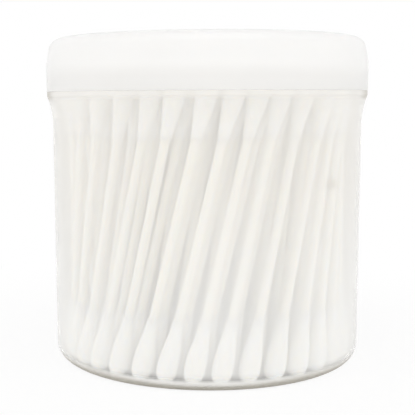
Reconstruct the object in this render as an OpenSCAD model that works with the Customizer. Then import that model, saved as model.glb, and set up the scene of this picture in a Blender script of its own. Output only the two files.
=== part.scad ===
// Round clear tub of cotton swabs with a push-on lid.
// Millimetres. Z = 0 is the surface the tub stands on, and Z runs up its axis.

/* [Swabs] */
// Length of a swab over its two cotton tips
swab_l = 76; // [66:0.5:90]
// Diameter of the paper stem
stem_d = 2.3; // [1.8:0.1:2.6]
// Greatest diameter of a cotton tip
tip_d = 5.3; // [4.6:0.1:5.3]
// Length of a cotton tip
tip_l = 15.5; // [12:0.5:20]
// Length of the rounded nose of a tip
nose_l = 4.4; // [3:0.2:6]
// Thickness of the cotton where a tip ends on the stem
tip_edge = 0.25; // [0.15:0.05:0.5]
// Length of the cotton beyond the end of the stem
tip_cover = 2.6; // [1.5:0.1:4]
// Clearance round the stem inside the cotton
stem_gap = 0.08; // [0.06:0.01:0.15]

/* [Bundle] */
// Turn of the bundle from the floor to its top, in degrees
bundle_twist = 27; // [10:1:30]
// Share of each ring's length that its swabs fill
ring_fill_share = 0.9; // [0.7:0.01:0.95]
// Free width between neighbouring rings
ring_gap = 0.25; // [0.2:0.05:0.3]
// Least free width between neighbours in a ring
side_gap = 0.2; // [0.15:0.05:1]
// Free width between the outer ring and the tub's wall
wall_gap = 0.6; // [0.4:0.1:1]
// Free height between the floor and the swabs
rest_gap = 0.1; // [0.05:0.05:0.3]
// Free height between the swabs and the lid
headroom = 6.5; // [5.5:0.1:12]

/* [Tub] */
// Outside diameter of the tub just above its rounded bottom edge
tub_d = 82; // [81:0.5:110]
// Thickness of the tub's wall
tub_wall = 1.2; // [0.8:0.1:1.3]
// Draft of the wall, which widens the tub upwards, in degrees
tub_draft = 0.25; // [0:0.05:1]
// Radius of the rounded bottom edge
base_round = 4.6; // [3:0.2:6]
// Thickness of the floor over the foot ring
floor_t = 1.2; // [1:0.1:3]
// Width of the flat ring that the tub stands on
foot_ring_w = 5; // [3:0.5:9]
// Height of the panel inside the foot ring above the ground
foot_recess = 0.3; // [0.2:0.1:0.9]
// Diameter of the moulding point in the middle of the base
gate_d = 3; // [1:0.5:6]
// Depth of the dimple round the moulding point
gate_depth = 0.2; // [0.1:0.1:0.4]

/* [Mouth] */
// Height of the neck above the ledge that the lid sits on
neck_h = 7; // [5:0.2:9]
// Thickness of the ledge at its edge
ledge_edge = 1.1; // [0.5:0.1:2]
// Radius of the ledge's rounded upper edge
ledge_round = 0.5; // [0.2:0.05:1]
// Height over which the wall flares out to the ledge
flare_h = 8; // [4:0.5:12]
// Distance of the ledge's edge inside the lid's outer face
ledge_setback = 0.1; // [0.05:0.05:0.5]
// Width of the sealing bead round the neck
bead_w = 1.4; // [0.8:0.1:2]
// Height that the sealing bead stands out
bead_h = 0.15; // [0.1:0.01:0.2]
// Distance of the bead's middle below the mouth
bead_drop = 1.6; // [1:0.1:3]

/* [Lid] */
// Height of the lid
lid_h = 13.9; // [12:0.1:20]
// Thickness of the lid
lid_wall = 1.2; // [0.8:0.1:1.6]
// Height of the upright band at the lid's rim
band_h = 7.4; // [5:0.2:9]
// Inward slope of the lid's side above that band, in degrees
lid_slope = 10; // [0:0.5:15]
// Radius of the lid's rounded top edge
lid_round = 3.4; // [2:0.2:5]
// Gap between the lid's skirt and the neck
lid_gap = 0.3; // [0.22:0.01:0.5]
// Bevel inside the lid's lower rim
lid_lead = 0.35; // [0.2:0.05:0.5]
// Depth of the sunk panel in the lid's top
panel_drop = 0.5; // [0.2:0.1:1]
// Width of the flat border round the sunk panel
panel_border = 2; // [1:0.2:5]

/* [Hidden] */

clear_plastic = [0.93, 0.95, 0.95, 0.35];
milky_plastic = [0.97, 0.97, 0.96, 0.8];
paper_white = [0.95, 0.94, 0.91];
cotton_white = [0.98, 0.98, 0.96];

// Segments in a full turn of the large and of the small round forms
big_fn = 180;
small_fn = 24;
// Points along the curves of a cotton tip
nose_steps = 6;
shoulder_steps = 6;

// Levels of the bundle, the lid and the ledge, from the ground up
swab_foot_z = floor_t + rest_gap;
lid_panel_z = swab_foot_z + swab_l + headroom;
lid_top_z = lid_panel_z + lid_wall + panel_drop;
ledge_z = lid_top_z - lid_h;
mouth_z = ledge_z + neck_h;
flare_z = ledge_z - ledge_edge - flare_h;

// The wall's outer and inner faces, which leave the rounds of the bottom edge as tangents
foot_r = tub_d / 2 - base_round;
inner_round = base_round - tub_wall;
function wall_r(z) = foot_r + base_round / cos(tub_draft) + (z - base_round) * tan(tub_draft);
function inner_r(z) =
    foot_r + inner_round / cos(tub_draft) + (z - floor_t - inner_round) * tan(tub_draft);

// Radii of the mouth and the lid, from the neck outwards
neck_r = wall_r(ledge_z);
mouth_r = neck_r - tub_wall;
lid_r = neck_r + lid_gap + lid_wall;
ledge_r = lid_r - ledge_setback;
lid_round_r = lid_r - (lid_h - lid_round - band_h) * tan(lid_slope) - lid_round / cos(lid_slope);
panel_r = lid_round_r - panel_border;

// Rings of swabs, from 1 next to the wall to the last one round the middle
ring_pitch = tip_d + ring_gap;
outer_ring_r = inner_r(base_round) - wall_gap - tip_d / 2;
function ring_r(ring) = outer_ring_r - (ring - 1) * ring_pitch;
ring_count = floor(outer_ring_r / ring_pitch) + 1;

// Where each ring starts and how far it turns, both as shares, which repeat for further rings
start_shares = [0.364, 0.74, 0.11, 0.48, 0.85, 0.22, 0.59];
twist_shares = [0.95, 1.25, 0.85, 1.15, 0.8, 1.1, 1];
function ring_start(ring) = 360 * start_shares[(ring - 1) % len(start_shares)];
function ring_twist(ring) = bundle_twist * twist_shares[(ring - 1) % len(twist_shares)];

// Angle between neighbours that touch but for side_gap, at the steepest lean
steepest_lean = 18;
function closest_step(ring) =
    let (half = (tip_d + side_gap) / (2 * ring_r(ring) * cos(steepest_lean)))
    half < 1 ? 2 * asin(half) : 360;
core_r = (tip_d + side_gap) / sqrt(3);
function ring_places(ring) =
    ring < ring_count ? floor(ring_fill_share * 360 / closest_step(ring)) :
    ring_r(ring) >= core_r ? 3 :
    ring_r(ring) >= core_r * sqrt(3) / 2 ? 2 : 1;
function places_before(ring) = ring == 1 ? 0 : places_before(ring - 1) + ring_places(ring - 1);

// Angles round one ring: each gap is the closest step and its share of the room left over
function sum_of(values, count) = count == 0 ? 0 : values[count - 1] + sum_of(values, count - 1);
function spread(ring, gap_shares) =
    let (
        places = ring_places(ring),
        step = ring == ring_count ? 360 / places : closest_step(ring),
        room = 360 - places * step,
        total_share = sum_of(gap_shares, places)
    )
    [for (place = [0 : places - 1]) place * step + room * sum_of(gap_shares, place) / total_share];

// Gaps between the feet are nearly even, and those between the tops are not
function foot_gap_shares(ring) = rands(0.4, 1, ring_places(ring), 10 + ring);
function top_gap_shares(ring) = [for (share = rands(0.1, 1, ring_places(ring), 30 + ring)) pow(share, 3)];

// Swabs are counted from the outside inwards and dealt out to seven groups by these shares.
// At the size above, each group is one ring. A wider or narrower tub holds more or fewer swabs.
group_shares = [35, 30, 24, 19, 13, 8, 3];
function group_end(group) = round(
    places_before(ring_count + 1) * sum_of(group_shares, group) / sum_of(group_shares, len(group_shares))
);

// Depth that the nose of a leaning swab dips below its own end point
function nose_dip(lean) =
    sqrt(pow(nose_l * cos(lean), 2) + pow(tip_d / 2 * sin(lean), 2)) - nose_l * cos(lean);

module on_ring(group) {
    for (ring = [1 : ring_count]) {
        feet = spread(ring, foot_gap_shares(ring));
        tops = spread(ring, top_gap_shares(ring));
        r = ring_r(ring);
        first = max(group_end(group - 1) - places_before(ring), 0);
        last = min(group_end(group) - places_before(ring), ring_places(ring)) - 1;
        for (place = [first : 1 : last]) {
            foot = ring_start(ring) + feet[place];
            top = ring_start(ring) + tops[place] + ring_twist(ring);
            lean = asin(2 * r * sin((top - foot) / 2) / swab_l);
            translate([r * cos(foot), r * sin(foot), swab_foot_z + nose_dip(lean)])
                rotate([0, lean, (foot + top) / 2 + 90])
                    children();
        }
    }
}

// Cotton tip, from its nose at the origin up to where it ends on the stem
function nose_points() = [
    for (step = [0 : nose_steps])
        let (angle = 90 * step / nose_steps)
        [tip_d / 2 * sin(angle), nose_l * (1 - cos(angle))]
];
function shoulder_points(end_r) = [
    for (step = [1 : shoulder_steps])
        let (along = step / shoulder_steps, swell = (1 + cos(180 * along)) / 2)
        [end_r + (tip_d / 2 - end_r) * swell, nose_l + (tip_l - nose_l) * along]
];
module cotton_tip() {
    bore_r = stem_d / 2 + stem_gap;
    rotate_extrude($fn = small_fn)
        polygon(concat(
            nose_points(),
            shoulder_points(bore_r + tip_edge),
            [[bore_r, tip_l], [bore_r, tip_cover], [0, tip_cover]]
        ));
}

module paper_stem() {
    translate([0, 0, tip_cover])
        cylinder(d = stem_d, h = swab_l - 2 * tip_cover, $fn = small_fn);
}

module stems(group) {
    color(paper_white)
        on_ring(group)
            paper_stem();
}

module lower_tips(group) {
    color(cotton_white)
        on_ring(group)
            cotton_tip();
}

module upper_tips(group) {
    color(cotton_white)
        on_ring(group)
            translate([0, 0, swab_l])
                mirror([0, 0, 1])
                    cotton_tip();
}

// Half section of a drafted cup with a rounded bottom edge, open shapes overlapping inside it
module cup_section(corner_r, corner_z, round_r, top_z) {
    reach = round_r * cos(tub_draft);
    dip = round_r * sin(tub_draft);
    translate([corner_r, corner_z])
        intersection() {
            circle(r = round_r, $fn = big_fn);
            translate([0, -round_r])
                square([round_r, round_r]);
        }
    polygon([
        [0, corner_z - round_r],
        [corner_r, corner_z - round_r],
        [corner_r, corner_z],
        [corner_r + reach, corner_z - dip],
        [corner_r + reach + (top_z - corner_z + dip) * tan(tub_draft), top_z],
        [0, top_z]
    ]);
}

// The ledge that carries the lid, with the wall flaring out below it at its own thickness
module ledge_section() {
    step_out = ledge_r - wall_r(flare_z);
    arc_r = (pow(flare_h, 2) + pow(step_out, 2)) / (2 * step_out);
    flare_wall = wall_r(flare_z) - inner_r(flare_z);
    difference() {
        union() {
            polygon([
                [inner_r(flare_z), flare_z],
                [ledge_r, flare_z],
                [ledge_r, ledge_z - ledge_round],
                [ledge_r - ledge_round, ledge_z],
                [mouth_r, ledge_z],
                [mouth_r, ledge_z - ledge_edge],
                [inner_r(flare_z), ledge_z - ledge_edge]
            ]);
            translate([ledge_r - ledge_round, ledge_z - ledge_round])
                circle(r = ledge_round, $fn = big_fn);
        }
        translate([wall_r(flare_z) + arc_r, flare_z])
            circle(r = arc_r, $fn = 4 * big_fn);
        difference() {
            translate([0, flare_z])
                square([ledge_r, flare_h]);
            translate([wall_r(flare_z) + arc_r, flare_z])
                circle(r = arc_r + flare_wall, $fn = 4 * big_fn);
        }
    }
}

module neck_section() {
    arc_r = (pow(bead_w / 2, 2) + pow(bead_h, 2)) / (2 * bead_h);
    translate([mouth_r, ledge_z])
        square([tub_wall, neck_h]);
    intersection() {
        translate([neck_r + bead_h - arc_r, mouth_z - bead_drop])
            circle(r = arc_r, $fn = big_fn);
        translate([mouth_r, ledge_z])
            square([ledge_r - mouth_r, neck_h]);
    }
}

module base_recess() {
    translate([0, 0, -foot_recess])
        cylinder(r = foot_r - foot_ring_w, h = 2 * foot_recess, $fn = big_fn);
    difference() {
        cylinder(d = 3 * gate_d, h = foot_recess + gate_depth, $fn = big_fn);
        cylinder(d = gate_d, h = foot_recess + 2 * gate_depth, $fn = big_fn);
    }
}

module tub() {
    color(clear_plastic)
        difference() {
            rotate_extrude($fn = big_fn) {
                difference() {
                    cup_section(foot_r, base_round, base_round, flare_z);
                    cup_section(foot_r, floor_t + inner_round, inner_round, mouth_z);
                }
                ledge_section();
                neck_section();
            }
            base_recess();
        }
}

// Half section of a cap on z = 0: an upright band, a side that slopes in, a rounded top edge
module cap_section(outer_r, upright_h, height, round_r) {
    corner_z = height - round_r;
    corner_r = lid_round_r;
    polygon([
        [0, 0],
        [outer_r, 0],
        [outer_r, upright_h],
        [corner_r + round_r * cos(lid_slope), corner_z + round_r * sin(lid_slope)],
        [corner_r, height],
        [0, height]
    ]);
    translate([corner_r, corner_z])
        circle(r = round_r, $fn = big_fn);
}

module lid() {
    skirt_r = lid_r - lid_wall;
    inner_band_h = band_h - lid_wall * tan(lid_slope / 2);
    color(milky_plastic)
        translate([0, 0, ledge_z])
            rotate_extrude($fn = big_fn)
                difference() {
                    union() {
                        difference() {
                            cap_section(lid_r, band_h, lid_h, lid_round);
                            cap_section(skirt_r, inner_band_h, lid_h - lid_wall, lid_round - lid_wall);
                        }
                        translate([0, lid_h - lid_wall - panel_drop])
                            square([panel_r + lid_wall, lid_wall + panel_drop]);
                    }
                    translate([0, lid_h - panel_drop])
                        square([panel_r, 2 * panel_drop]);
                    polygon([
                        [0, 0],
                        [skirt_r + lid_lead, 0],
                        [skirt_r, lid_lead],
                        [0, lid_lead]
                    ]);
                }
}

tub();
lid();
stems(1);  // stems_ring_1
lower_tips(1);  // lower_tips_ring_1
upper_tips(1);  // upper_tips_ring_1
stems(2);  // stems_ring_2
lower_tips(2);  // lower_tips_ring_2
upper_tips(2);  // upper_tips_ring_2
stems(3);  // stems_ring_3
lower_tips(3);  // lower_tips_ring_3
upper_tips(3);  // upper_tips_ring_3
stems(4);  // stems_ring_4
lower_tips(4);  // lower_tips_ring_4
upper_tips(4);  // upper_tips_ring_4
stems(5);  // stems_ring_5
lower_tips(5);  // lower_tips_ring_5
upper_tips(5);  // upper_tips_ring_5
stems(6);  // stems_ring_6
lower_tips(6);  // lower_tips_ring_6
upper_tips(6);  // upper_tips_ring_6
stems(7);  // stems_ring_7
lower_tips(7);  // lower_tips_ring_7
upper_tips(7);  // upper_tips_ring_7
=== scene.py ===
# %% [markdown]
# # A tub of cotton swabs
#
# This lesson dresses a round clear tub, its milky lid and the cotton swabs inside it. The packed
# model gives every size and place. Here it gets smooth mouldings, wound cotton, rolled paper,
# and plastics that light can pass through.

# %% Load the packed model
import math

import bpy
import numpy as np
from mathutils import Matrix, Vector


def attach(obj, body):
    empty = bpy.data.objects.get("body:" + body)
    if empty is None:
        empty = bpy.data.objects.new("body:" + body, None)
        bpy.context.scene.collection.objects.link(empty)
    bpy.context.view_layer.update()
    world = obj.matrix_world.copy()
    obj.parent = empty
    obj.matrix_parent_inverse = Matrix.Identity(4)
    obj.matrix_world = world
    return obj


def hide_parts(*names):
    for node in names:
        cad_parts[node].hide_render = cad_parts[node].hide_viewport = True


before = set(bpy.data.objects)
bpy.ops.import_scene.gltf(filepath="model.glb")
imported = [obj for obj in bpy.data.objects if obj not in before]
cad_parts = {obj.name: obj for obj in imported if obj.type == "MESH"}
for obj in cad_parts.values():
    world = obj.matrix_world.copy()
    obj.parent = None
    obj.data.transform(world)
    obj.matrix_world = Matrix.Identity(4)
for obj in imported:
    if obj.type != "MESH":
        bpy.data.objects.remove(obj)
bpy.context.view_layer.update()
MM = 0.001

# %% [markdown]
# ## The camera
#
# The photograph was taken from a little above the tub's waist, level with the rim of the lid,
# and looks slightly down. A camera in Blender is a lens, a place and a turn. The lens comes from
# the focal length in pixels of a picture 415 pixels wide. The small sideways turn, taken back by
# a shift, gives the near side of the base its slight slope to the right.

# %% Camera
PHOTO_PIXELS = 415
FOCAL_PIXELS = 964.4
SENSOR_WIDTH = 36.0
CAMERA_DISTANCE = 262.7 * MM
CAMERA_HEIGHT = 69.45 * MM
LOOK_DOWN = 0.1113
LOOK_LEFT = 0.045
CAMERA_ROLL = -0.0044
SHIFT_PIXELS = 44.6


def add_camera():
    data = bpy.data.cameras.new("camera")
    data.sensor_width = SENSOR_WIDTH
    data.lens = FOCAL_PIXELS / PHOTO_PIXELS * SENSOR_WIDTH
    data.shift_x = SHIFT_PIXELS / PHOTO_PIXELS
    data.clip_start = 1 * MM
    data.clip_end = 10
    camera = bpy.data.objects.new("camera", data)
    bpy.context.collection.objects.link(camera)
    upright = Matrix.Rotation(math.pi / 2, 4, "X")
    turn = Matrix.Rotation(LOOK_LEFT, 4, "Z")
    tip = Matrix.Rotation(-LOOK_DOWN, 4, "X")
    roll = Matrix.Rotation(CAMERA_ROLL, 4, "Z")
    place = Matrix.Translation((0, -CAMERA_DISTANCE, CAMERA_HEIGHT))
    camera.matrix_world = place @ turn @ tip @ upright @ roll
    bpy.context.scene.camera = camera
    return camera


camera = add_camera()
print("Lens in mm:", round(camera.data.lens, 1), "shift:", round(camera.data.shift_x, 3))

# %% [markdown]
# ## Shader maths as Python
#
# A material is a graph of nodes. Wiring it by hand takes many lines, so one small class stands
# for an output of a node. Python's operators on it add Math nodes, and its `node` method adds
# any other node: settings first, then what goes into the sockets. A few short functions cover the
# nodes that come back in every material.


# %% A class for sockets
class Wire:
    """One output of a node in a material, with operators for values."""

    def __init__(self, tree, socket=None):
        self.tree = tree
        self.socket = socket

    def node(self, kind, settings=None, sockets=None, out=0):
        made = self.tree.nodes.new(kind)
        for key, value in (settings or {}).items():
            setattr(made, key, value)
        for key, value in (sockets or {}).items():
            if isinstance(value, Wire):
                self.tree.links.new(value.socket, made.inputs[key])
            else:
                made.inputs[key].default_value = value
        return Wire(self.tree, made.outputs[out] if made.outputs else None)

    def math(self, operation, first, second):
        return self.node("ShaderNodeMath", {"operation": operation}, {0: first, 1: second})

    def __add__(self, other):
        return self.math("ADD", self, other)

    __radd__ = __add__

    def __sub__(self, other):
        return self.math("SUBTRACT", self, other)

    def __rsub__(self, other):
        return self.math("SUBTRACT", other, self)

    def __mul__(self, other):
        return self.math("MULTIPLY", self, other)

    __rmul__ = __mul__


def new_material(name):
    material = bpy.data.materials.new(name)
    material.use_nodes = True
    material.node_tree.nodes.clear()
    return material, Wire(material.node_tree)


def noise(graph, place, scale, detail=3.0, roughness=0.5):
    """Cloudy noise between about 0.3 and 0.7, read at a place."""
    sockets = {"Vector": place, "Scale": scale, "Detail": detail, "Roughness": roughness}
    return graph.node("ShaderNodeTexNoise", {}, sockets)


def stretched(graph, place, amounts):
    """A place with each axis multiplied by its own amount."""
    return graph.node("ShaderNodeVectorMath", {"operation": "MULTIPLY"}, {0: place, 1: amounts})


def mixed(graph, factor, first, second):
    """A colour between two colours."""
    sockets = {0: factor, 6: first, 7: second}
    return graph.node("ShaderNodeMix", {"data_type": "RGBA"}, sockets, out=2)


def rise(graph, value, span, unit=1.0, kind="SMOOTHSTEP"):
    """Zero below a span and one above it, with the span's two ends given in a unit."""
    sockets = {"Value": value, "From Min": span[0] * unit, "From Max": span[1] * unit}
    return graph.node("ShaderNodeMapRange", {"interpolation_type": kind}, sockets)


def light_path(graph, name):
    """One for rays of the named kind, and zero for the rest."""
    return graph.node("ShaderNodeLightPath", out=name)


print("Operators ready:", [name for name in vars(Wire) if name.strip("_") in ("add", "sub", "mul")])

# %% [markdown]
# ## Where every swab stands
#
# The packed model holds each ring of swabs as three nodes: stems, lower tips and upper tips. A
# node's mesh holds many separate solids. They are told apart by walking along shared corners,
# and the two end rings of a stem then give the line that its swab stands on.

# %% Read the swabs from the model
RING_NAMES = [name.removeprefix("stems_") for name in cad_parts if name.startswith("stems_")]
WELD = 0.001 * MM


def solids_of(node):
    """The corner points of each separate solid in a CAD node."""
    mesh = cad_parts[node].data
    points = np.empty(len(mesh.vertices) * 3)
    mesh.vertices.foreach_get("co", points)
    points = points.reshape(-1, 3)
    _, first, weld = np.unique(
        np.round(points / WELD), axis=0, return_index=True, return_inverse=True
    )
    weld = weld.ravel()
    edges = np.empty(len(mesh.edges) * 2, dtype=int)
    mesh.edges.foreach_get("vertices", edges)
    edges = weld[edges].reshape(-1, 2)
    label = np.arange(len(first))
    while True:
        low = np.minimum(label[edges[:, 0]], label[edges[:, 1]])
        before = label.copy()
        np.minimum.at(label, edges[:, 0], low)
        np.minimum.at(label, edges[:, 1], low)
        label = label[label]
        if (label == before).all():
            break
    corners = points[first]
    return [corners[label == one] for one in np.unique(label)]


def stem_line(points):
    """The lower end, the upper end and the direction of a stem."""
    middle = points[:, 2].mean()
    low = points[points[:, 2] < middle].mean(axis=0)
    high = points[points[:, 2] > middle].mean(axis=0)
    along = (high - low) / np.linalg.norm(high - low)
    return low, high, along


stem_lines = {ring: [stem_line(p) for p in solids_of("stems_" + ring)] for ring in RING_NAMES}
print("Swabs in each ring:", {ring: len(lines) for ring, lines in stem_lines.items()})

# %% [markdown]
# All tips are alike, so one lower tip is measured along its own swab's line: how far it reaches
# past the end of the stem, how long and how thick it is, and where it is thickest.

# %% Measure one cotton tip
first_ring = RING_NAMES[0]
low_end, high_end, along = stem_lines[first_ring][0]
nearest_tip = min(
    solids_of("lower_tips_" + first_ring),
    key=lambda points: np.linalg.norm(points.mean(axis=0) - low_end),
)
tip_along = (nearest_tip - low_end) @ along
tip_out = np.linalg.norm(nearest_tip - low_end - np.outer(tip_along, along), axis=1)
TIP_COVER = -tip_along.min()
TIP_LENGTH = tip_along.max() - tip_along.min()
TIP_RADIUS = tip_out.max()
NOSE_LENGTH = tip_along[tip_out.argmax()] + TIP_COVER
TIP_END_RADIUS = tip_out[tip_along > tip_along.max() - WELD].max()
STEM_LENGTH = np.linalg.norm(high_end - low_end)
SWAB_LENGTH = STEM_LENGTH + 2 * TIP_COVER
stem_points = solids_of("stems_" + first_ring)[0]
STEM_RADIUS = np.linalg.norm(np.cross(stem_points - low_end, along), axis=1).max()
print("Swab mm:", round(SWAB_LENGTH / MM, 2), "tip:", round(TIP_LENGTH / MM, 2),
      "thick:", round(2 * TIP_RADIUS / MM, 2), "nose:", round(NOSE_LENGTH / MM, 2),
      "stem:", round(2 * STEM_RADIUS / MM, 2))

# %% [markdown]
# ## Building turned forms
#
# Tips, stems, tub and lid are all turned forms: a half section spun round an axis. One function
# joins rows of points into a tube of quads and closes the ends. It works on plain arrays, so a
# ring of swabs becomes one mesh quickly.


# %% Helpers for turned meshes
PLACE_RANGE = 500


def tube_faces(rows, around, start):
    """Quads between rows of points round an axis, and a fan over each end."""
    row = np.arange(rows - 1)[:, None] * around
    turn = np.arange(around)[None, :]
    after = (turn + 1) % around
    quads = np.stack([row + turn, row + after, row + around + after, row + around + turn], -1)
    faces = (quads.reshape(-1, 4) + start).tolist()
    faces.append([start + index for index in range(around)][::-1])
    faces.append([start + (rows - 1) * around + index for index in range(around)])
    return faces


def add_piece(name, points, faces, material, places=None, sharp=30):
    """A smooth mesh object from points and faces, with each point's place on its swab if given."""
    mesh = bpy.data.meshes.new(name)
    mesh.from_pydata(points.tolist(), [], faces)
    if places is not None:
        layer = mesh.attributes.new("swab_place", "FLOAT_VECTOR", "POINT")
        layer.data.foreach_set("vector", places.ravel())
    mesh.validate()
    mesh.shade_smooth()
    mesh.set_sharp_from_angle(angle=math.radians(sharp))
    mesh.materials.append(material)
    piece = bpy.data.objects.new(name, mesh)
    bpy.context.collection.objects.link(piece)
    return piece


def round_a_line(base, along, far, radius, turn, random):
    """Points at each distance and turn round a line, and their places from a random start."""
    side = np.cross(along, (0.0, 1.0, 0.0))
    side /= np.linalg.norm(side)
    other = np.cross(along, side)
    local_x, local_y = radius * np.cos(turn), radius * np.sin(turn)
    points = base + far[..., None] * along + local_x[..., None] * side + local_y[..., None] * other
    offset = random.uniform(0, PLACE_RANGE, 3)
    places = np.stack([local_x, local_y, np.broadcast_to(far, local_x.shape)], -1) / MM
    return points.reshape(-1, 3), (places + offset).reshape(-1, 3)


def full_turn(steps):
    """The angles of so many even steps round an axis, as one row."""
    return np.linspace(0, 2 * math.pi, steps, endpoint=False)[None, :]


def joined(tubes, rows, around):
    """The points, faces and places of many tubes of the same kind as one mesh."""
    starts = range(0, len(tubes) * rows * around, rows * around)
    faces = [face for start in starts for face in tube_faces(rows, around, start)]
    points, places = (np.vstack(arrays) for arrays in zip(*tubes))
    return points, faces, places


print("Faces of a tube of 3 rows by 8:", len(tube_faces(3, 8, 0)))

# %% [markdown]
# ## Cotton
#
# A tip is a strand of cotton fibres wound round the end of the stem. From close by it is white
# with a faintly warm shade where light sinks in, quite matt, and finely matted with fibres that
# mostly run round it. Noise that is squeezed along the swab gives the winding, and finer noise the
# fluff. Both read a place that is stored on each tip, so they lean with the swab.


# %% Cotton material
COTTON_SHADE = (0.92, 0.893, 0.847, 1.0)
COTTON_LIGHT = (0.968, 0.954, 0.928, 1.0)


def cotton_material():
    material, graph = new_material("wound_cotton")
    place = graph.node("ShaderNodeAttribute", {"attribute_name": "swab_place"}, out="Vector")
    winding = noise(graph, stretched(graph, place, (0.5, 0.5, 2.6)), 1.6, detail=4.0)
    fluff = noise(graph, place, 5.0, detail=5.0, roughness=0.65)
    clouds = noise(graph, place, 0.35, detail=2.0)
    fibres = winding * 0.6 + fluff * 0.4
    colour = mixed(graph, fibres * 0.8 + clouds * 0.4, COTTON_SHADE, COTTON_LIGHT)
    normal = graph.node(
        "ShaderNodeBump", {}, {"Strength": 0.45, "Distance": 0.12 * MM, "Height": fibres}
    )
    shader = graph.node("ShaderNodeBsdfPrincipled", {}, {
        "Base Color": colour,
        "Roughness": 0.95,
        "Normal": normal,
        "Specular IOR Level": 0.15,
        "Subsurface Weight": 1.0,
        "Subsurface Radius": (1.0, 0.9, 0.75),
        "Subsurface Scale": 3.0 * MM,
        "Sheen Weight": 0.2,
        "Sheen Roughness": 0.5,
    })
    graph.node("ShaderNodeOutputMaterial", {}, {"Surface": shader})
    return material


cotton = cotton_material()
print("Cotton nodes:", len(cotton.node_tree.nodes))

# %% [markdown]
# A real tip is never quite round. Two or three soft lobes turn slowly along it, and the wound
# strand leaves shallow ridges. The lobes only take cotton away, so a tip is never thicker than the
# solid that stands for it. Its nose is a little blunter than an ellipse, by an exponent over 2, and
# so the heads stand close together on the floor.

# %% Cotton tips
TIP_AROUND = 28
NOSE_ROWS, NOSE_START, NOSE_EXPONENT = 9, 0.06, 2.6
SHOULDER_ROWS = 16
TUCK_DEPTH = 0.1 * MM
LOBE_DEPTH, TWO_LOBE_TURN, THREE_LOBE_TURN, THREE_LOBE_SHARE = 0.035, 9 * MM, 6 * MM, 0.7
RIDGE_DEPTH, RIDGE_PITCH = 0.018, 1.7 * MM
FIRST_TIP_SEED, RING_SEED_STEP = 135, 100


def tip_section():
    """Distances along a tip from its nose, and the radius at each."""
    nose_turn = np.linspace(NOSE_START, 1, NOSE_ROWS) * math.pi / 2
    back, out = np.cos(nose_turn).clip(0), np.sin(nose_turn)
    nose = np.column_stack([
        NOSE_LENGTH * (1 - back ** (2 / NOSE_EXPONENT)), TIP_RADIUS * out ** (2 / NOSE_EXPONENT),
    ])
    share = np.linspace(0, 1, SHOULDER_ROWS)[1:]
    swell = (1 + np.cos(math.pi * share)) / 2
    shoulder = np.column_stack([
        NOSE_LENGTH + (TIP_LENGTH - NOSE_LENGTH) * share,
        TIP_END_RADIUS + (TIP_RADIUS - TIP_END_RADIUS) * swell,
    ])
    tuck = [
        [TIP_LENGTH, (TIP_END_RADIUS + STEM_RADIUS) / 2],
        [TIP_LENGTH - TUCK_DEPTH, STEM_RADIUS],
    ]
    return np.vstack([nose, shoulder, tuck])


def tip_points(nose, inward, random):
    """Points of one tip, with its nose at a place and its stem towards inward, and their places."""
    far, width = np.split(tip_section(), 2, axis=1)
    turn = full_turn(TIP_AROUND)
    two, three, ridge, _ = random.uniform(0, 2 * math.pi, 4)
    lobes = (
        np.sin(2 * turn + two + far / TWO_LOBE_TURN)
        + THREE_LOBE_SHARE * np.sin(3 * turn + three - far / THREE_LOBE_TURN)
    ) / (1 + THREE_LOBE_SHARE)
    ridges = np.sin(turn + ridge + 2 * math.pi * far / RIDGE_PITCH)
    fade = np.clip(far / NOSE_LENGTH, 0, 1)
    shrink = LOBE_DEPTH * (1 - lobes) / 2 + RIDGE_DEPTH * fade * (1 - ridges) / 2
    return round_a_line(nose, inward, far, width * (1 - shrink), turn, random)


def add_tips(ring, end, seed):
    """The lower or upper tips of one ring as one piece."""
    random = np.random.default_rng(seed)
    tubes = []
    for low, high, along in stem_lines[ring]:
        end_point, inward = (low, along) if end == "lower" else (high, -along)
        tubes.append(tip_points(end_point - inward * TIP_COVER, inward, random))
    points, faces, places = joined(tubes, len(tip_section()), TIP_AROUND)
    piece = add_piece(f"cotton_{end}_{ring}", points, faces, cotton, places, sharp=80)
    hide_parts(f"{end}_tips_{ring}")
    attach(piece, "tub")
    return piece


tips = [
    add_tips(ring, end, seed=FIRST_TIP_SEED + RING_SEED_STEP * index + extra)
    for index, ring in enumerate(RING_NAMES) for extra, end in enumerate(("lower", "upper"))
]
print("Cotton pieces:", len(tips), "faces:", sum(len(piece.data.polygons) for piece in tips))

# %% [markdown]
# ## Paper stems
#
# The stem is a tightly rolled strip of white paper. It is smoother and a little warmer than the
# cotton, with fine lines along it where the paper's edge and its grain show.


# %% Paper material and stems
PAPER_SHADE = (0.89, 0.83, 0.73, 1.0)
PAPER_LIGHT = (0.952, 0.917, 0.853, 1.0)
STEM_AROUND, STEM_ROWS = 20, 12
SEAM_DEPTH, SEAM_TURN = 0.03, 14 * MM
FIRST_STEM_SEED = 7


def paper_material():
    material, graph = new_material("rolled_paper")
    place = graph.node("ShaderNodeAttribute", {"attribute_name": "swab_place"}, out="Vector")
    grain = noise(graph, stretched(graph, place, (3.0, 3.0, 0.12)), 2.2, detail=4.0)
    flecks = noise(graph, place, 2.5, detail=4.0, roughness=0.6)
    colour = mixed(graph, grain * 0.7 + flecks * 0.4, PAPER_SHADE, PAPER_LIGHT)
    normal = graph.node(
        "ShaderNodeBump", {}, {"Strength": 0.3, "Distance": 0.05 * MM, "Height": grain}
    )
    shader = graph.node("ShaderNodeBsdfPrincipled", {}, {
        "Base Color": colour,
        "Roughness": 0.6 + 0.2 * flecks,
        "Normal": normal,
        "Specular IOR Level": 0.3,
        "Subsurface Weight": 0.9,
        "Subsurface Radius": (1.0, 0.85, 0.65),
        "Subsurface Scale": 2.2 * MM,
    })
    graph.node("ShaderNodeOutputMaterial", {}, {"Surface": shader})
    return material


paper = paper_material()


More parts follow.
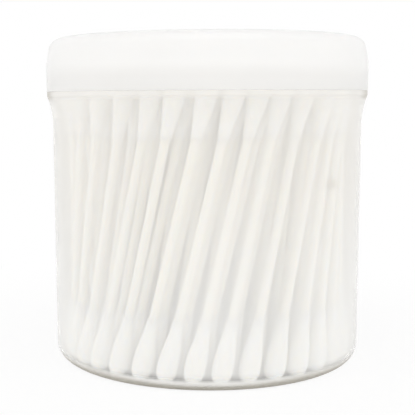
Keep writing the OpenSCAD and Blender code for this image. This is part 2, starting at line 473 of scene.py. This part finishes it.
def stem_tube(low, along, random):
    """Points of one stem whose rolled edge winds slowly up it, and their places."""
    turn = full_turn(STEM_AROUND)
    far = np.linspace(0, STEM_LENGTH, STEM_ROWS)[:, None]
    seam = (turn - random.uniform(0, 2 * math.pi) + far / SEAM_TURN) % (2 * math.pi)
    radius = STEM_RADIUS * (1 - SEAM_DEPTH * seam / (2 * math.pi))
    return round_a_line(low, along, far, radius, turn, random)


def add_stems(ring, seed):
    """The stems of one ring as one piece."""
    random = np.random.default_rng(seed)
    tubes = [stem_tube(low, along, random) for low, _, along in stem_lines[ring]]
    points, faces, places = joined(tubes, STEM_ROWS, STEM_AROUND)
    piece = add_piece("paper_stems_" + ring, points, faces, paper, places, sharp=60)
    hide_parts("stems_" + ring)
    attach(piece, "tub")
    return piece


stems = [add_stems(ring, FIRST_STEM_SEED + index) for index, ring in enumerate(RING_NAMES)]
print("Stem pieces:", len(stems), "faces:", sum(len(piece.data.polygons) for piece in stems))

# %% [markdown]
# ## Half sections of the mouldings
#
# The tub and the lid were moulded in round tools, so each is a half section spun round the axis.
# The sections below use the sizes of the CAD model. Sharp corners don't exist on a moulding, and
# a small round on every edge is what catches the light, so a helper rounds each corner.

# %% Section helpers
TURNED_AROUND = 288
LEAST_TURN, CORNER_STEPS = 16, 5
MOULDING_SHARP = 35


def arc(centre, radius, start, end, steps):
    """Points on an arc, with its angles in degrees."""
    angles = np.radians(np.linspace(start, end, steps + 1))
    return [(centre[0] + radius * math.cos(a), centre[1] + radius * math.sin(a)) for a in angles]


def rounded(section, radius):
    """The section with a small arc at each corner that turns by more than a few degrees."""
    section = [Vector(point) for point in section]
    result = [section[0]]
    for before, corner, after in zip(section, section[1:], section[2:]):
        into, away = before - corner, after - corner
        turn = math.pi - into.angle(away, math.pi)
        if math.degrees(turn) < LEAST_TURN:
            result.append(corner)
            continue
        back = min(radius * math.tan(turn / 2), 0.45 * into.length, 0.45 * away.length)
        start, end = corner + into.normalized() * back, corner + away.normalized() * back
        for share in np.linspace(0, 1, CORNER_STEPS + 1):
            first, second = start.lerp(corner, share), corner.lerp(end, share)
            result.append(first.lerp(second, share))
    result.append(section[-1])
    return np.array([tuple(point) for point in result])


def add_turned(name, section, material):
    """A moulding spun round the Z axis from a half section that runs from axis to axis."""
    turn = full_turn(TURNED_AROUND)
    out, up = section[:, :1] * MM, section[:, 1:] * MM
    points = np.stack([out * np.cos(turn), out * np.sin(turn), up + 0 * turn], -1).reshape(-1, 3)
    faces = tube_faces(len(section), TURNED_AROUND, 0)
    return add_piece(name, points, faces, material, sharp=MOULDING_SHARP)


def farthest_from(section, node):
    """The greatest distance from a CAD node's corner points to the section, in millimetres."""
    corners = np.vstack(solids_of(node)) / MM
    seen = np.column_stack([np.hypot(corners[:, 0], corners[:, 1]), corners[:, 2]])
    seen = seen[seen[:, 0] > section[[0, -1], 0].max()]
    start, step = section[:-1], np.diff(section, axis=0)
    share = ((seen[:, None] - start) * step).sum(-1) / (step ** 2).sum(-1)
    nearest = start + np.clip(share, 0, 1)[..., None] * step
    return np.linalg.norm(seen[:, None] - nearest, axis=-1).min(axis=1).max()


print("Corner of a square, rounded:", len(rounded([(0, 0), (1, 0), (1, 1)], 0.2)), "points")

# %% [markdown]
# ## The tub
#
# The tub's wall is straight with a slight draft, round at the bottom, and flares out to a ledge
# that carries the lid. Above the ledge a thinner neck with a low bead holds the lid. Inside, the
# floor meets the wall in a round of its own, so the corner of the base is a thick ring of clear
# plastic. Light bends in that ring and draws part of the line along the base; the rest of that line
# is painted shade in the clear plastic. Each straight stretch has a row of points near its ends,
# which keeps the shading true where a round begins.
# The outer edge of the ledge is a little sharper here than in the CAD, so that it gathers no dark
# line under the lid.

# %% Tub section
DRAFT = 0.25
FOOT_RADIUS, BASE_ROUND, FLOOR, WALL = 36.4, 4.6, 1.2, 1.2
FOOT_RING, FOOT_RECESS, GATE_RADIUS, GATE_DEPTH = 5.0, 0.3, 1.5, 0.2
LEDGE_LEVEL, LEDGE_EDGE, LEDGE_ROUND, LEDGE_SETBACK = 71.6, 1.1, 0.12, 0.1
FLARE_HEIGHT, NECK_HEIGHT, BEAD_WIDTH, BEAD_HEIGHT, BEAD_DROP = 8.0, 7.0, 1.4, 0.15, 1.6
LID_GAP, LID_WALL = 0.3, 1.2
INNER_ROUND = BASE_ROUND - WALL
NEAR, TUB_CORNER = 0.4, 0.2


def drafted_radius(level, round_radius, round_level):
    """Radius at a level of a drafted wall that leaves the round of the bottom edge."""
    draft = math.radians(DRAFT)
    return FOOT_RADIUS + round_radius / math.cos(draft) + (level - round_level) * math.tan(draft)


def wall_radius(level):
    return drafted_radius(level, BASE_ROUND, BASE_ROUND)


def inner_radius(level):
    return drafted_radius(level, INNER_ROUND, FLOOR + INNER_ROUND)


NECK_RADIUS = wall_radius(LEDGE_LEVEL)
LID_RADIUS = NECK_RADIUS + LID_GAP + LID_WALL
LEDGE_RADIUS = LID_RADIUS - LEDGE_SETBACK
MOUTH_RADIUS = NECK_RADIUS - WALL
MOUTH_LEVEL = LEDGE_LEVEL + NECK_HEIGHT
FLARE_LEVEL = LEDGE_LEVEL - LEDGE_EDGE - FLARE_HEIGHT


def tub_section():
    base = [
        (GATE_RADIUS, FOOT_RECESS),
        (GATE_RADIUS, FOOT_RECESS + GATE_DEPTH),
        (3 * GATE_RADIUS, FOOT_RECESS + GATE_DEPTH),
        (3 * GATE_RADIUS, FOOT_RECESS),
        (FOOT_RADIUS - FOOT_RING, FOOT_RECESS),
        (FOOT_RADIUS - FOOT_RING, 0),
    ]
    outer_round = arc((FOOT_RADIUS, BASE_ROUND), BASE_ROUND, -90, -DRAFT, 40)
    wall_ends = (BASE_ROUND + NEAR, FLARE_LEVEL - NEAR)
    outer_wall = [(wall_radius(level), level) for level in wall_ends]
    inner_wall = [(inner_radius(level), level) for level in reversed(wall_ends)]
    step_out = LEDGE_RADIUS - wall_radius(FLARE_LEVEL)
    flare_radius = (FLARE_HEIGHT ** 2 + step_out ** 2) / (2 * step_out)
    flare_centre = (wall_radius(FLARE_LEVEL) + flare_radius, FLARE_LEVEL)
    flare_turn = math.degrees(math.asin(FLARE_HEIGHT / flare_radius))
    flare = arc(flare_centre, flare_radius, 180, 180 - flare_turn, 20)
    inner_flare_radius = flare_centre[0] - inner_radius(FLARE_LEVEL)
    inner_turn = math.degrees(math.asin(FLARE_HEIGHT / inner_flare_radius))
    inner_flare = arc(flare_centre, inner_flare_radius, 180 - inner_turn, 180, 20)
    edge_centre = (LEDGE_RADIUS - LEDGE_ROUND, LEDGE_LEVEL - LEDGE_ROUND)
    edge = arc(edge_centre, LEDGE_ROUND, 0, 90, 8)
    bead_radius = ((BEAD_WIDTH / 2) ** 2 + BEAD_HEIGHT ** 2) / (2 * BEAD_HEIGHT)
    bead_centre = (NECK_RADIUS + BEAD_HEIGHT - bead_radius, MOUTH_LEVEL - BEAD_DROP)
    bead_turn = math.degrees(math.asin(BEAD_WIDTH / 2 / bead_radius))
    bead = arc(bead_centre, bead_radius, -bead_turn, bead_turn, 10)
    inside = arc((FOOT_RADIUS, FLOOR + INNER_ROUND), INNER_ROUND, -DRAFT, -90, 32)
    return (
        base + outer_round + outer_wall + flare + edge
        + [(NECK_RADIUS, LEDGE_LEVEL)] + bead
        + [(NECK_RADIUS, MOUTH_LEVEL), (MOUTH_RADIUS, MOUTH_LEVEL)]
        + [(MOUTH_RADIUS, LEDGE_LEVEL - LEDGE_EDGE)] + inner_flare + inner_wall
        + inside + [(FOOT_RADIUS - NEAR, FLOOR), (GATE_RADIUS, FLOOR)]
    )


tub_form = rounded(tub_section(), TUB_CORNER)
print("Tub section:", len(tub_form), "points, CAD corners within mm:",
      round(farthest_from(tub_form, "tub"), 3))

# %% [markdown]
# ## Clear plastic
#
# Clear polystyrene is close to glass and bends light by about 1.58, but a thin moulding is never
# quite clear. A haze scatters some light at each face and veils the swabs, so a share of white is
# mixed with the clear shader. The haze is thickest on the ledge, where the lid rubs, and in a pale
# ring low on the round of the base. In the upper part the haze is painted a little darker and
# warmer, as painted shade for the warm gaps between the paper stems. Absorption inside
# the solid gives an olive tone. Light from the swabs and the lamps may pass straight through the
# thin wall, which keeps the inside bright. Under the foot it may not, so the ground there stays
# dark. Where the round of the base is seen edge on, it gathers that dark into a thin olive line,
# and so does the rim under the lid at each side. A path through so thick a corner has more bends
# than a render follows, so painted shade, a share of olive diffuse by how far a face turns away,
# stands in for it. The photograph also shows a small smudge on the right of the wall, a little over
# half way up, which takes the same olive diffuse.

# %% Clear plastic
CLEAR_THROUGH = (0.985, 0.985, 0.98, 1.0)
CLEAR_TINT, CLEAR_DENSITY, CLEAR_IOR = (0.62, 0.60, 0.52, 1.0), 40.0, 1.58
CLEAR_FACE = (1.0, 1.0, 0.995, 1.0)
# Painted shade and a real smudge: the olive tone mixed in at the edge-on base round and rim, and at
# the smudge.
PAINTED_SHADE_AND_SMUDGE_TONE = (0.44, 0.415, 0.365, 1.0)
HAZE_WHITE = (0.885, 0.878, 0.864, 1.0)
# Painted shade: the haze is darker and warmer in the upper part, for the warm gaps between the
# paper stems.
HAZE_PAINTED_WARM_SHADE = (0.862, 0.842, 0.81, 1.0)
WALL_HAZE, LEDGE_HAZE, RING_HAZE = 0.47, 0.18, 0.6
# Painted shade: shares of olive diffuse that darken the base round and the rim under the lid, edge
# on.
PAINTED_CORNER_SHADE, PAINTED_RIM_SHADE = 0.85, 0.5
FOOT_SPAN, WALL_SPAN, PAINTED_WARM_SHADE_SPAN, LOW_SPAN = (0.4, 0.8), (1.3, 5.3), (20, 60), (1.2, 4.0)
RING_START, RING_END = (1.5, 2.1), (2.7, 3.5)
LEDGE_SPAN = (LEDGE_LEVEL - 2.2, LEDGE_LEVEL - 0.8)
RIM_SPAN = (LEDGE_LEVEL - 2.6, LEDGE_LEVEL - 1.6)
PAST_FOOT = (FOOT_RADIUS - 0.2, FOOT_RADIUS + 0.4)
CORNER_FACING, RIM_FACING = (0.25, 0.52), (0.7, 0.85)
SMUDGE_PLACE, SMUDGE_STRETCH = (30.7, -27.4, 48.8), (0.6, 0.6, 1.0)
SMUDGE_SPAN, SMUDGE_SHARE = (0.46, 2.3), 0.16


def smudge(graph, place):
    """A soft round mark: its share in the middle, and zero past its span."""
    centre = [part * factor * MM for part, factor in zip(SMUDGE_PLACE, SMUDGE_STRETCH)]
    away = graph.node("ShaderNodeVectorMath", {"operation": "DISTANCE"}, {
        0: stretched(graph, place, SMUDGE_STRETCH), 1: centre,
    }, out="Value")
    return SMUDGE_SHARE * (1 - rise(graph, away, SMUDGE_SPAN, MM))


def clear_haze(graph, level, waves):
    """How much white veils the clear plastic, by its level over the ground."""
    ring = rise(graph, level, RING_START, MM, "LINEAR")
    ring_end = 1 - rise(graph, level, RING_END, MM, "LINEAR")
    on_wall = WALL_HAZE * rise(graph, level, WALL_SPAN, MM)
    on_ledge = LEDGE_HAZE * rise(graph, level, LEDGE_SPAN, MM)
    return (on_wall + on_ledge + RING_HAZE * ring * ring_end) * (0.7 + 0.6 * waves)


def painted_edge_shade(graph, place, level):
    """Painted shade: how much olive tone darkens the round of the base and the rim, where they turn
    edge on.
    """
    facing = graph.node("ShaderNodeLayerWeight", {}, {"Blend": 0.5}, out="Facing")
    out = graph.node("ShaderNodeVectorMath", {"operation": "LENGTH"}, {
        0: stretched(graph, place, (1.0, 1.0, 0.0)),
    }, out="Value")
    corner = rise(graph, out, PAST_FOOT, MM, "LINEAR") * (1 - rise(graph, level, LOW_SPAN, MM))
    rim = rise(graph, level, RIM_SPAN, MM) * rise(graph, facing, RIM_FACING)
    return PAINTED_CORNER_SHADE * corner * rise(graph, facing, CORNER_FACING) + PAINTED_RIM_SHADE * rim


def clear_material():
    material, graph = new_material("clear_plastic")
    place = graph.node("ShaderNodeTexCoord", out="Object")
    waves = noise(graph, stretched(graph, place, (1.0, 1.0, 0.3)), 45.0, detail=2.0)
    scuffs = noise(graph, stretched(graph, place, (1.0, 1.0, 3.0)), 400.0, detail=4.0)
    normal = graph.node("ShaderNodeBump", {}, {
        "Strength": 0.2, "Distance": 0.03 * MM, "Height": waves,
    })
    level = graph.node("ShaderNodeSeparateXYZ", {}, {0: place}, out="Z")
    clear = graph.node("ShaderNodeBsdfPrincipled", {}, {
        "Base Color": CLEAR_FACE,
        "Roughness": 0.03 + 0.04 * scuffs,
        "IOR": CLEAR_IOR,
        "Transmission Weight": 1.0,
        "Normal": normal,
    })
    white = graph.node("ShaderNodeBsdfPrincipled", {}, {
        # Painted shade: the white turns darker and warmer higher up the tub.
        "Base Color": mixed(graph, rise(graph, level, PAINTED_WARM_SHADE_SPAN, MM), HAZE_WHITE, HAZE_PAINTED_WARM_SHADE),
        "Roughness": 0.3,
        "IOR": CLEAR_IOR,
        "Normal": normal,
    })
    haze = clear_haze(graph, level, waves)
    hazy = graph.node("ShaderNodeMixShader", {}, {0: haze, 1: clear, 2: white})
    # Painted shade at the base round and rim, and the real smudge, both as this olive diffuse.
    olive = graph.node("ShaderNodeBsdfDiffuse", {}, {"Color": PAINTED_SHADE_AND_SMUDGE_TONE})
    painted_shade_and_smudge_share = painted_edge_shade(graph, place, level) + smudge(graph, place)
    shaded = graph.node("ShaderNodeMixShader", {}, {0: painted_shade_and_smudge_share, 1: hazy, 2: olive})
    through = graph.node("ShaderNodeBsdfTransparent", {}, {"Color": CLEAR_THROUGH})
    soft_light = light_path(graph, "Is Shadow Ray") + light_path(graph, "Is Diffuse Ray")
    lets_through = soft_light * rise(graph, level, FOOT_SPAN, MM, "LINEAR")
    surface = graph.node("ShaderNodeMixShader", {}, {0: lets_through, 1: shaded, 2: through})
    depth = graph.node("ShaderNodeVolumeAbsorption", {}, {
        "Color": CLEAR_TINT, "Density": CLEAR_DENSITY,
    })
    graph.node("ShaderNodeOutputMaterial", {}, {"Surface": surface, "Volume": depth})
    return material


clear_plastic = clear_material()
tub = add_turned("clear_tub", tub_form, clear_plastic)
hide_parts("tub")
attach(tub, "tub")
print("Tub faces:", len(tub.data.polygons))

# %% [markdown]
# ## The lid
#
# The lid is a shallow cap with a rounded top edge and a slightly sunk panel. It is polypropylene:
# milky, with a satin surface. Its plastic scatters light, so the swab tips inside show only as
# soft shades. Below the top of the neck its colour is painted a little darker, as painted shade
# for the neck and tips that stand behind the wall there.

# %% Lid section
LID_HEIGHT, LID_BAND, LID_SLOPE, LID_ROUND, LID_LEAD = 13.9, 7.4, 10.0, 3.4, 0.35
PANEL_DROP, PANEL_BORDER, PANEL_MIDDLE, LID_CORNER = 0.5, 2.0, 1.0, 0.12


def lid_section():
    slope = math.radians(LID_SLOPE)
    inner = LID_RADIUS - LID_WALL
    under = LID_HEIGHT - LID_WALL
    corner_level = LID_HEIGHT - LID_ROUND
    corner = LID_RADIUS - (corner_level - LID_BAND) * math.tan(slope) - LID_ROUND / math.cos(slope)
    panel = corner - PANEL_BORDER
    points = (
        [(PANEL_MIDDLE, under - PANEL_DROP), (panel + LID_WALL, under - PANEL_DROP),
         (panel + LID_WALL, under)]
        + arc((corner, corner_level), LID_ROUND - LID_WALL, 90, LID_SLOPE, 18)
        + [(inner, LID_BAND - LID_WALL * math.tan(slope / 2))]
        + [(inner, LID_LEAD), (inner + LID_LEAD, 0), (LID_RADIUS, 0), (LID_RADIUS, LID_BAND)]
        + arc((corner, corner_level), LID_ROUND, LID_SLOPE, 90, 24)
        + [(panel, LID_HEIGHT), (panel, LID_HEIGHT - PANEL_DROP),
           (PANEL_MIDDLE, LID_HEIGHT - PANEL_DROP)]
    )
    return [(out, LEDGE_LEVEL + up) for out, up in points]


lid_form = rounded(lid_section(), LID_CORNER)
print("Lid section:", len(lid_form), "points, CAD corners within mm:",
      round(farthest_from(lid_form, "lid"), 3))

# %% Milky plastic and lid
MILK_LIGHT = (0.98, 0.978, 0.973, 1.0)
MILK_PAINTED_SHADE = (0.905, 0.9, 0.891, 1.0)
MILK_THROUGH, MILK_IOR = (0.93, 0.925, 0.915, 1.0), 1.49
NECK_SPAN = (MOUTH_LEVEL - 4, MOUTH_LEVEL)


def milky_material():
    material, graph = new_material("milky_plastic")
    place = graph.node("ShaderNodeTexCoord", out="Object")
    flow = noise(graph, stretched(graph, place, (1.0, 1.0, 0.4)), 30.0, detail=3.0)
    satin = noise(graph, place, 900.0, detail=3.0)
    level = graph.node("ShaderNodeSeparateXYZ", {}, {0: place}, out="Z")
    above_neck = rise(graph, level, NECK_SPAN, MM)
    # Painted shade: the lid's colour is darker below the top of the neck.
    colour = mixed(graph, above_neck * 0.85 + flow * 0.2, MILK_PAINTED_SHADE, MILK_LIGHT)
    normal = graph.node("ShaderNodeBump", {}, {
        "Strength": 0.25, "Distance": 0.02 * MM, "Height": flow,
    })
    shader = graph.node("ShaderNodeBsdfPrincipled", {}, {
        "Base Color": colour,
        "Roughness": 0.3 + 0.1 * satin,
        "IOR": MILK_IOR,
        "Transmission Weight": 0.5,
        "Normal": normal,
    })
    through = graph.node("ShaderNodeBsdfTransparent", {}, {"Color": MILK_THROUGH})
    soft_light = light_path(graph, "Is Shadow Ray") + light_path(graph, "Is Diffuse Ray")
    surface = graph.node("ShaderNodeMixShader", {}, {0: soft_light, 1: shader, 2: through})
    graph.node("ShaderNodeOutputMaterial", {}, {"Surface": surface})
    return material


milky_plastic = milky_material()
lid = add_turned("milky_lid", lid_form, milky_plastic)
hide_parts("lid")
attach(lid, "lid")
print("Lid faces:", len(lid.data.polygons))

# %% [markdown]
# ## Floor and light
#
# The photograph is a high-key studio picture: white all round, and soft light from every side.
# The floor and the world show white to the camera and in reflections, and the lamps stay at a
# plain level. The floor still keeps a faint share of the tub's shadow.

# %% Floor
FLOOR_SIZE = 6.0
FLOOR_COLOUR = (0.9, 0.9, 0.895, 1.0)
FLOOR_WHITE, NEAR_FLOOR, FAR_FLOOR = 0.9, (35, 38), (50, 160)
WHITE = (1.0, 1.0, 1.0, 1.0)


def seen_directly(graph):
    """One for rays from the camera, from a gloss or through glass, and zero for the rest."""
    glossy, clear = light_path(graph, "Is Glossy Ray"), light_path(graph, "Is Transmission Ray")
    bent = graph.math("MAXIMUM", glossy, clear)
    return graph.math("MAXIMUM", light_path(graph, "Is Camera Ray"), bent)


def floor_material():
    material, graph = new_material("studio_floor")
    place = graph.node("ShaderNodeNewGeometry", out="Position")
    away = graph.node("ShaderNodeVectorMath", {"operation": "LENGTH"}, {0: place}, out="Value")
    past_tub = FLOOR_WHITE * rise(graph, away, NEAR_FLOOR, MM)
    far_off = (1 - FLOOR_WHITE) * rise(graph, away, FAR_FLOOR, MM)
    diffuse = graph.node("ShaderNodeBsdfDiffuse", {}, {"Color": FLOOR_COLOUR})
    glow = graph.node("ShaderNodeEmission", {}, {"Color": WHITE, "Strength": 1.0})
    factor = seen_directly(graph) * (past_tub + far_off)
    surface = graph.node("ShaderNodeMixShader", {}, {0: factor, 1: diffuse, 2: glow})
    graph.node("ShaderNodeOutputMaterial", {}, {"Surface": surface})
    return material


floor_points = np.array([(-1, -1, 0), (1, -1, 0), (1, 1, 0), (-1, 1, 0)]) * FLOOR_SIZE / 2
floor = add_piece("floor", floor_points, [(0, 1, 2, 3)], floor_material())
print("Floor metres:", FLOOR_SIZE)

# %% World and lamps
DOME_STRENGTH = 0.68
LAMP_AIM = Vector((0, 0, 0.04))


def add_world():
    world = bpy.data.worlds.new("studio")
    world.use_nodes = True
    world.node_tree.nodes.clear()
    graph = Wire(world.node_tree)
    strength = DOME_STRENGTH + (1 - DOME_STRENGTH) * seen_directly(graph)
    light = graph.node("ShaderNodeBackground", {}, {"Color": WHITE, "Strength": strength})
    graph.node("ShaderNodeOutputWorld", {}, {"Surface": light})
    bpy.context.scene.world = world


def add_lamp(name, place, size, power):
    """A square lamp that shines on the tub and shows in no reflection."""
    data = bpy.data.lights.new(name, "AREA")
    data.size, data.energy = size, power
    lamp = bpy.data.objects.new(name, data)
    lamp.location = place
    aim = LAMP_AIM - Vector(place)
    lamp.rotation_euler = aim.to_track_quat("-Z", "Y").to_euler()
    lamp.visible_glossy = False
    lamp.visible_transmission = False
    bpy.context.collection.objects.link(lamp)
    return lamp


add_world()
lamps = [
    add_lamp("front", (-0.03, -1.15, 0.32), size=0.3, power=0.6),
    add_lamp("left", (-1.05, -0.5, 0.35), size=0.5, power=3.5),
    add_lamp("right", (1.05, -0.5, 0.35), size=0.5, power=3.5),
    add_lamp("top", (0.0, -0.35, 1.0), size=0.5, power=2.0),
]
print("Lamps:", [lamp.name for lamp in lamps])

# %% [markdown]
# ## Finish
#
# The view transform is Standard, so a colour renders about as it is written.

# %% Finish
bpy.context.scene.view_settings.view_transform = "Standard"
